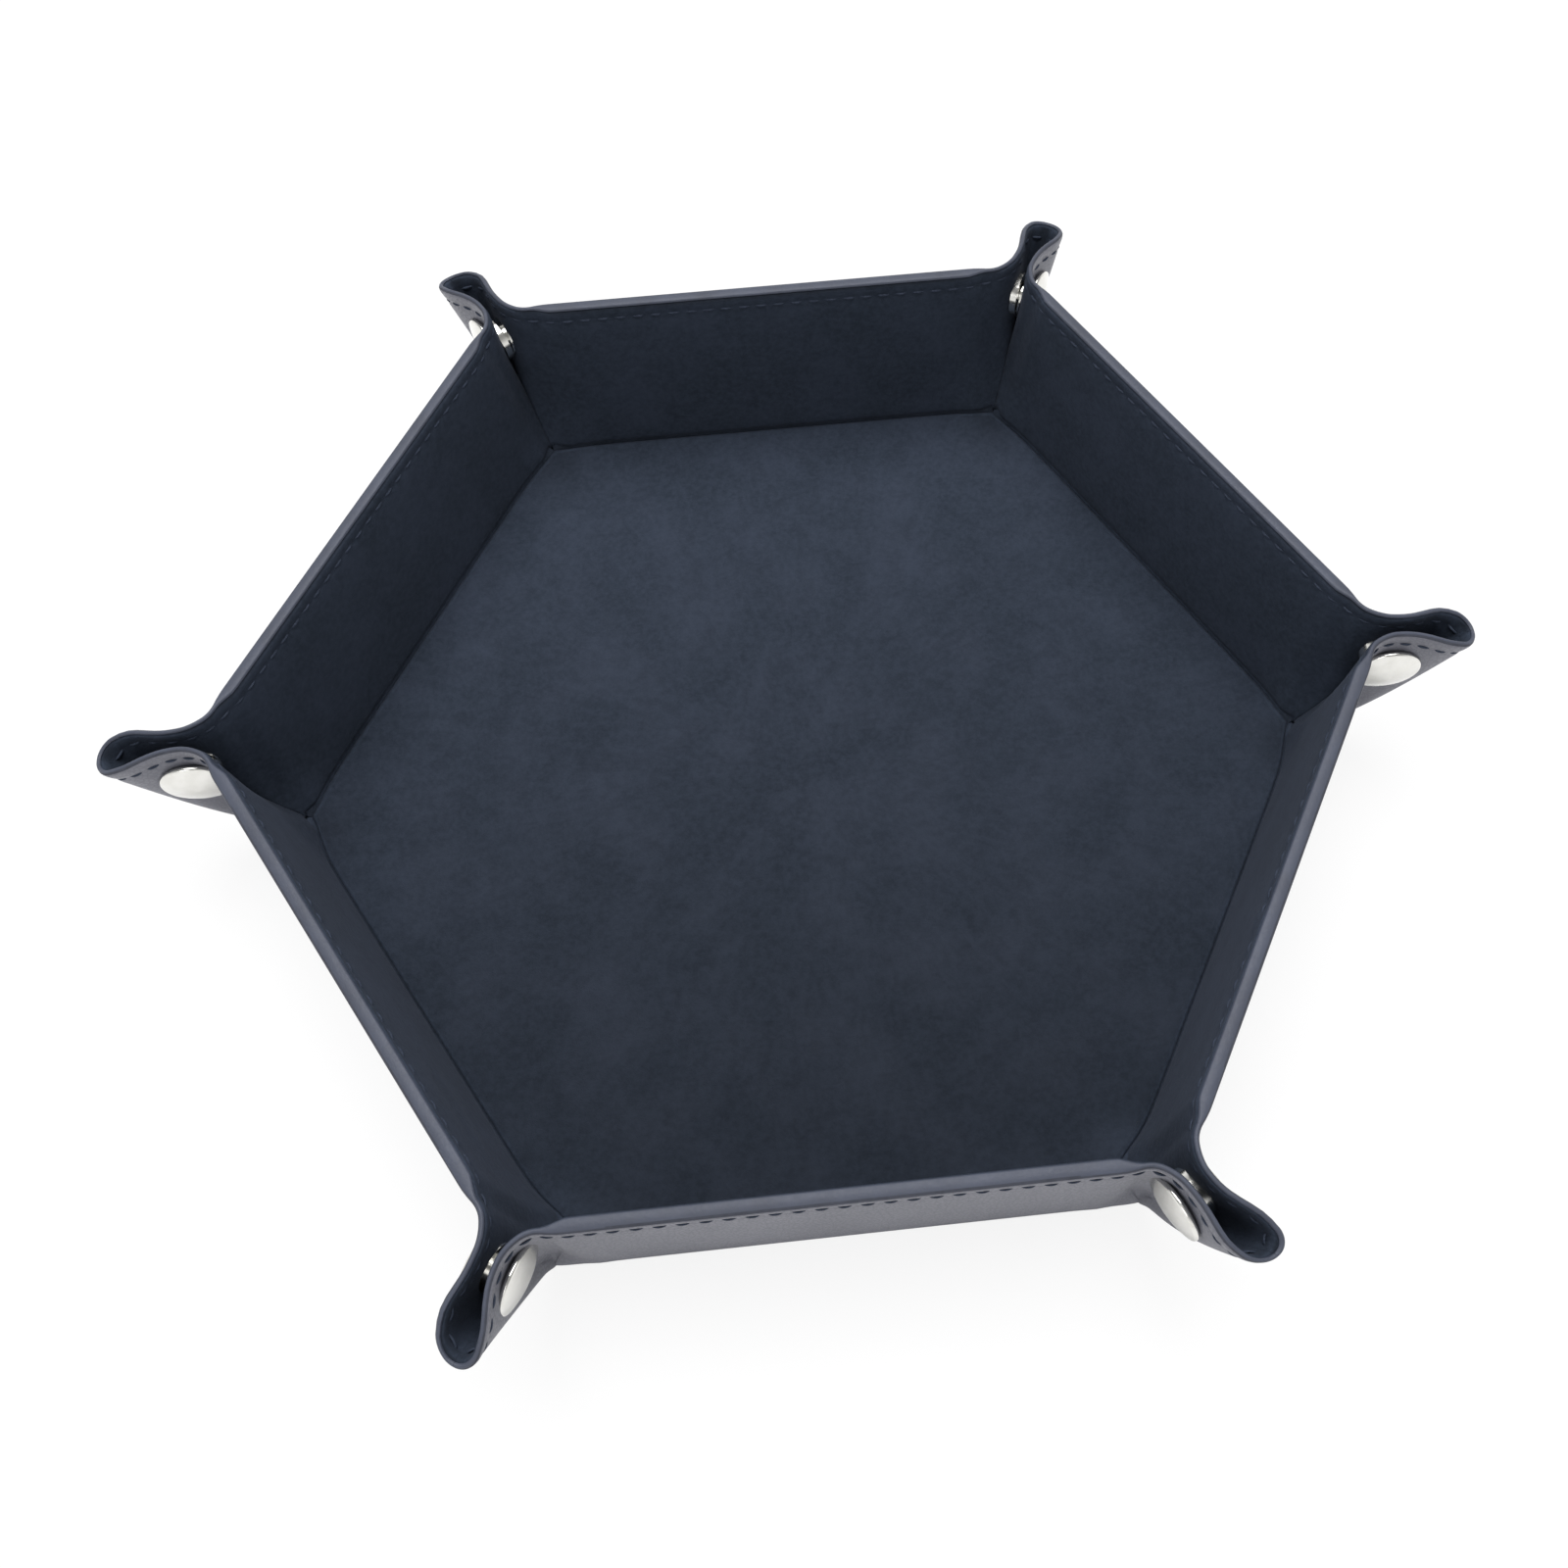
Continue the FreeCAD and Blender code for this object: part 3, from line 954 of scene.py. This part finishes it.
def hexagon_faces():
    """Triangles between the rings of hexagon_points."""
    centre = ring_point(FLOOR_RINGS + 1)
    faces = [(side, (side + 1) % 6, centre) for side in range(6)]
    for ring in range(2, FLOOR_RINGS + 1):
        for side in range(6):
            for k in range(ring):
                a, b = ring_point(ring, side, k), ring_point(ring, side, k + 1)
                c = ring_point(ring - 1, side, k)
                faces.append((a, b, c))
                if k:
                    faces.append((a, c, ring_point(ring - 1, side, k - 1)))
    return faces


def fill_floor_corners(points):
    """Raises the lining near each floor corner, where it bridges the angle."""
    for corner_angle in CORNER_ANGLES:
        matrix = turn(corner_angle)
        corner, outward = matrix @ CORNER, matrix @ STRAIGHT_OUT
        for i in np.flatnonzero(np.linalg.norm(points - corner, axis=1) < 3 * CORNER_FILL_SIZE):
            points[i] = corner_fill(points[i], corner, outward)


def floor_plate(name, apothem, face_height, back_height, material, waves):
    """Hexagonal covering with an uneven face, straight sides and a flat back."""
    points = hexagon_points(apothem)
    inset = apothem / math.cos(HALF_CORNER) - np.linalg.norm(points, axis=1)
    points[:, 2] = face_height + soft_waves(points, waves) * smooth(inset, 0, WAVE_FADE)
    if waves:
        fill_floor_corners(points)
    count = 6 * FLOOR_RINGS
    rim, back = ring_point(FLOOR_RINGS), len(points)
    below = points[rim:rim + count].copy()
    below[:, 2] = back_height
    faces = hexagon_faces() + band(rim, back, count) + [cap(back, count)]
    piece = new_piece(name, np.vstack([points, below]), faces, [material])
    for polygon in piece.data.polygons:
        polygon.use_smooth = abs(polygon.normal.z) > 0.9 and polygon.area < FLAT_SHADED
    return piece


def floor_patches():
    """Discs of velvet under the floor's corners, which show where the creases open out flat."""
    points, faces = [], []
    for corner_angle in CORNER_ANGLES:
        first = len(points)
        for face_height in PATCH_FACES:
            for k in range(PATCH_SIDES):
                spoke = turn(360 * k / PATCH_SIDES) @ np.array([PATCH_RADIUS, 0, 0])
                place = spoke + np.array([CORNER[0] - PATCH_INSET, 0, face_height])
                points.append(turn(corner_angle) @ place)
        second = first + PATCH_SIDES
        faces += band(first, second, PATCH_SIDES)
        faces += [cap(first, PATCH_SIDES)[::-1], cap(second, PATCH_SIDES)]
    return new_piece("floor_corner_patches", points, faces, [VELVET])


def build_floor():
    edge = APOTHEM - STRIP
    velvet = floor_plate("floor_velvet_lining", edge, SANDWICH, SANDWICH - SKIN, VELVET, FLOOR_WAVES)
    dress(velvet, replaced="floor_velvet", body="floor")
    dress(floor_patches(), body="floor")
    leather = floor_plate("floor_leather_base", edge, 0.0, SKIN, LEATHER, 0.0)
    dress(leather, replaced="floor_leather", body="floor")


# ---- stitching ----
SEAM_POINTS = 160           # along half a corner's seam
DASH_RINGS = 7
DASH_SIDES = 8
# A stitch as shares of its radius: thin ends, sunk in, an arched middle, and pressed a bit flat.
DASH_END, DASH_SINK, DASH_ARCH, DASH_HEIGHT = 0.25, 0.35, 0.75, 0.8


def dash(start, end, normal):
    """One stitch: a thread that comes up at start, lies on the face and dives at end."""
    along = end - start
    side_way = unit(np.cross(along, normal))
    points, faces = [], []
    for i in range(DASH_RINGS):
        t = i / (DASH_RINGS - 1)
        swell = max((1 - abs(2 * t - 1) ** 3) ** 0.5, DASH_END)
        lift = STITCH_RADIUS * (DASH_ARCH * math.sin(math.pi * t) - DASH_SINK)
        middle = start + along * t + normal * lift
        for j in range(DASH_SIDES):
            angle = 2 * math.pi * j / DASH_SIDES
            offset = side_way * math.cos(angle) + normal * DASH_HEIGHT * math.sin(angle)
            points.append(middle + offset * STITCH_RADIUS * swell)
    for i in range(DASH_RINGS - 1):
        faces += band(i * DASH_SIDES, (i + 1) * DASH_SIDES, DASH_SIDES)
    faces += [cap(0, DASH_SIDES)[::-1], cap((DASH_RINGS - 1) * DASH_SIDES, DASH_SIDES)]
    return points, faces


def thread_piece(name, dashes):
    """All the stitches of one seam as one object."""
    points, faces = [], []
    for start, end, normal in dashes:
        new_points, new_faces = dash(start, end, normal)
        faces += [tuple(i + len(points) for i in face) for face in new_faces]
        points += new_points
    piece = new_piece(name, points, faces, [THREAD], weld=0.0001)
    dress(piece)
    return piece


def stitch_places(length):
    """Start and end distances of the stitches along a seam, evenly shared out."""
    count = max(1, round(length / STITCH_PITCH))
    pitch = length / count
    gap = (pitch - STITCH_LENGTH) / 2
    return [(k * pitch + gap, (k + 1) * pitch - gap) for k in range(count)]


def wall_stitches(side):
    """Dashes on one face of a wall: side -1 velvet, +1 leather."""
    height = WALL_LENGTH - STITCH_INSET
    length = WALL_SPAN - 2 * end_margin(height)
    on_face = Column.outside if side > 0 else Column.inside
    dashes = []
    for places in stitch_places(length):
        start, end = [on_face(Column(place / length), height, STITCH_GROOVE) for place in places]
        dashes.append((start, end, WALL_NORMAL * side))
    return dashes


def corner_seam(side):
    """Points and normals along the seam round half a corner, from the wall to the ear's middle."""
    angles = np.linspace(RAY, END_ANGLE, SEAM_POINTS)
    points, normals = [], []
    for angle in angles:
        distance = float(outline(angle)) - STITCH_INSET
        points.append(corner_point(angle, STITCH_INSET, STITCH_GROOVE, side < 0))
        normals.append(sheet_normal(angle, distance) * side)
    return angles, np.array(points), np.array(normals)


def along_seam(place, run, values):
    """Value at a place, from the values at the seam's points."""
    return np.array([np.interp(place, run, values[:, k]) for k in range(3)])


def corner_stitches(side):
    """Dashes round half a corner, for the flap piece and for the tip piece; the velvet's ones stop
    short of the ear's middle, where they would meet their mirror image."""
    angles, points, normals = corner_seam(side)
    run = np.concatenate([[0], np.cumsum(np.linalg.norm(np.diff(points, axis=0), axis=1))])
    split = np.interp(SPLIT, angles, run)
    parts = []
    for low, high in ((0.0, split), (split, run[-1])):
        dashes = []
        for begin, finish in stitch_places(high - low):
            start, end = [along_seam(low + place, run, points) for place in (begin, finish)]
            normal = unit(along_seam(low + (begin + finish) / 2, run, normals))
            if side > 0 or min(start[1], end[1]) > STITCH_RADIUS:
                dashes.append((start, end, normal))
        parts.append(dashes)
    return parts


def corner_thread(name, dashes, half):
    """Dashes of the half-corner frame as a thread in their place."""
    moved = [tuple(corner_transform(v, half) for v in stitch) for stitch in dashes]
    return thread_piece(name, moved)


def build_stitches():
    on_walls = wall_stitches(-1) + wall_stitches(1)
    for wall_angle, place in WALL_NAMES.items():
        matrix = turn(wall_angle - 30)
        turned = [tuple(matrix @ v for v in stitch) for stitch in on_walls]
        piece = thread_piece(place + "_wall_stitches", turned)
        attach(piece, place + "_wall")
    inner, outer = corner_stitches(-1), corner_stitches(1)
    flap_dashes = inner[0] + outer[0]
    fold_dashes = inner[1] + outer[1]
    for half in HALVES:
        _, stem = half_names(half)
        hang_flap_piece(corner_thread(stem + "_flap_stitches", flap_dashes, half))
        hang_fold_piece(corner_thread(stem + "_fold_stitches", fold_dashes, half))


# ---- CAD pieces that stay ----
def dress_cad():
    materials = {"stud": NICKEL, "socket": NICKEL, "board": BOARD}
    for name, node in frame["nodes"].items():
        kind = name.split("_")[-1]
        if kind in materials:
            node.data.materials.clear()
            node.data.materials.append(materials[kind])


# ---- stage, light and camera ----
TABLE_GLOW = 0.85           # share of the table that the camera sees as a lit sheet
TABLE_HALF = 3.0            # metres
TABLE_DROP = 0.0002         # metres under the tray, so that the two faces don't flicker
WORLD_HORIZON = 1.25
WORLD_ZENITH = 0.35


def build_stage():
    work = bmesh.new()
    bmesh.ops.create_grid(work, x_segments=1, y_segments=1, size=TABLE_HALF)
    mesh = bpy.data.meshes.new("table_top")
    work.to_mesh(mesh)
    work.free()
    table = add_object("table_top", mesh)
    table.location.z = -TABLE_DROP
    mesh.materials.append(table_material())


def table_material():
    """Matt white that the camera sees as a lit sheet, which leaves only a trace of shadow."""
    n = Nodes("pale_table")
    n.set(Base_Color=(0.8, 0.8, 0.8, 1), Roughness=0.9, Specular_IOR_Level=0.1)
    glow = n.add("ShaderNodeEmission")
    ray = n.add("ShaderNodeLightPath")
    blend = n.add("ShaderNodeMixShader")
    n.link(n.sum(ray.outputs["Is Camera Ray"], TABLE_GLOW, "MULTIPLY"), blend.inputs[0])
    n.link(n.shader.outputs["BSDF"], blend.inputs[1])
    n.link(glow.outputs["Emission"], blend.inputs[2])
    n.link(blend.outputs["Shader"], n.output.inputs["Surface"])
    return n.material


def area_light(name, place, size, watts):
    """Round lamp at a place in metres, aimed at the tray's middle."""
    data = bpy.data.lights.new(name, "AREA")
    data.shape = "DISK"
    data.size = size
    data.energy = watts
    light = add_object(name, data)
    light.location = place
    light.rotation_mode = "QUATERNION"
    light.rotation_quaternion = (-Vector(place)).to_track_quat("-Z", "Y")


def build_world():
    """Bright at the horizon and greyer overhead, so the polished caps have something to show."""
    world = bpy.data.worlds.new("studio")
    bpy.context.scene.world = world
    world.use_nodes = True
    tree = world.node_tree
    direction = tree.nodes.new("ShaderNodeTexCoord")
    axes = tree.nodes.new("ShaderNodeSeparateXYZ")
    tree.links.new(direction.outputs["Generated"], axes.inputs["Vector"])
    ramp = tree.nodes.new("ShaderNodeMapRange")
    ramp.interpolation_type = "SMOOTHSTEP"
    set_range(ramp, 0.05, 0.8, WORLD_HORIZON, WORLD_ZENITH)
    tree.links.new(axes.outputs["Z"], ramp.inputs["Value"])
    background = tree.nodes["Background"]
    background.inputs["Color"].default_value = (1, 1, 1, 1)
    tree.links.new(ramp.outputs["Result"], background.inputs["Strength"])


def build_light():
    build_world()
    area_light("top_light", (0.0, 0.37, 1.47), 1.3, 30)
    area_light("front_light", (-0.5, -1.1, 0.9), 0.8, 3)


CAMERA_PLACE = (2.5, -144.0, 287.2)
CAMERA_TARGET = (15.3, -7.0, 2.8)
CAMERA_ROLL = -0.74
CAMERA_LENS = 36.56
CAMERA_SHIFT = (-0.065, 0.007)


def build_camera():
    data = bpy.data.cameras.new("camera")
    data.lens = CAMERA_LENS
    data.sensor_width = 36.0
    data.shift_x, data.shift_y = CAMERA_SHIFT
    data.clip_start = 0.01
    camera = add_object("camera", data)
    place = Vector(CAMERA_PLACE) * MM
    look = Vector(CAMERA_TARGET) * MM - place
    camera.location = place
    camera.rotation_mode = "QUATERNION"
    roll = Matrix.Rotation(math.radians(CAMERA_ROLL), 4, "Z").to_quaternion()
    camera.rotation_quaternion = look.to_track_quat("-Z", "Y") @ roll
    bpy.context.scene.camera = camera


build_floor()
build_walls()
build_corners()
build_stitches()
dress_cad()
build_stage()
build_light()
build_camera()
bpy.context.scene.view_settings.view_transform = "Standard"

bpy.context.view_layer.update()
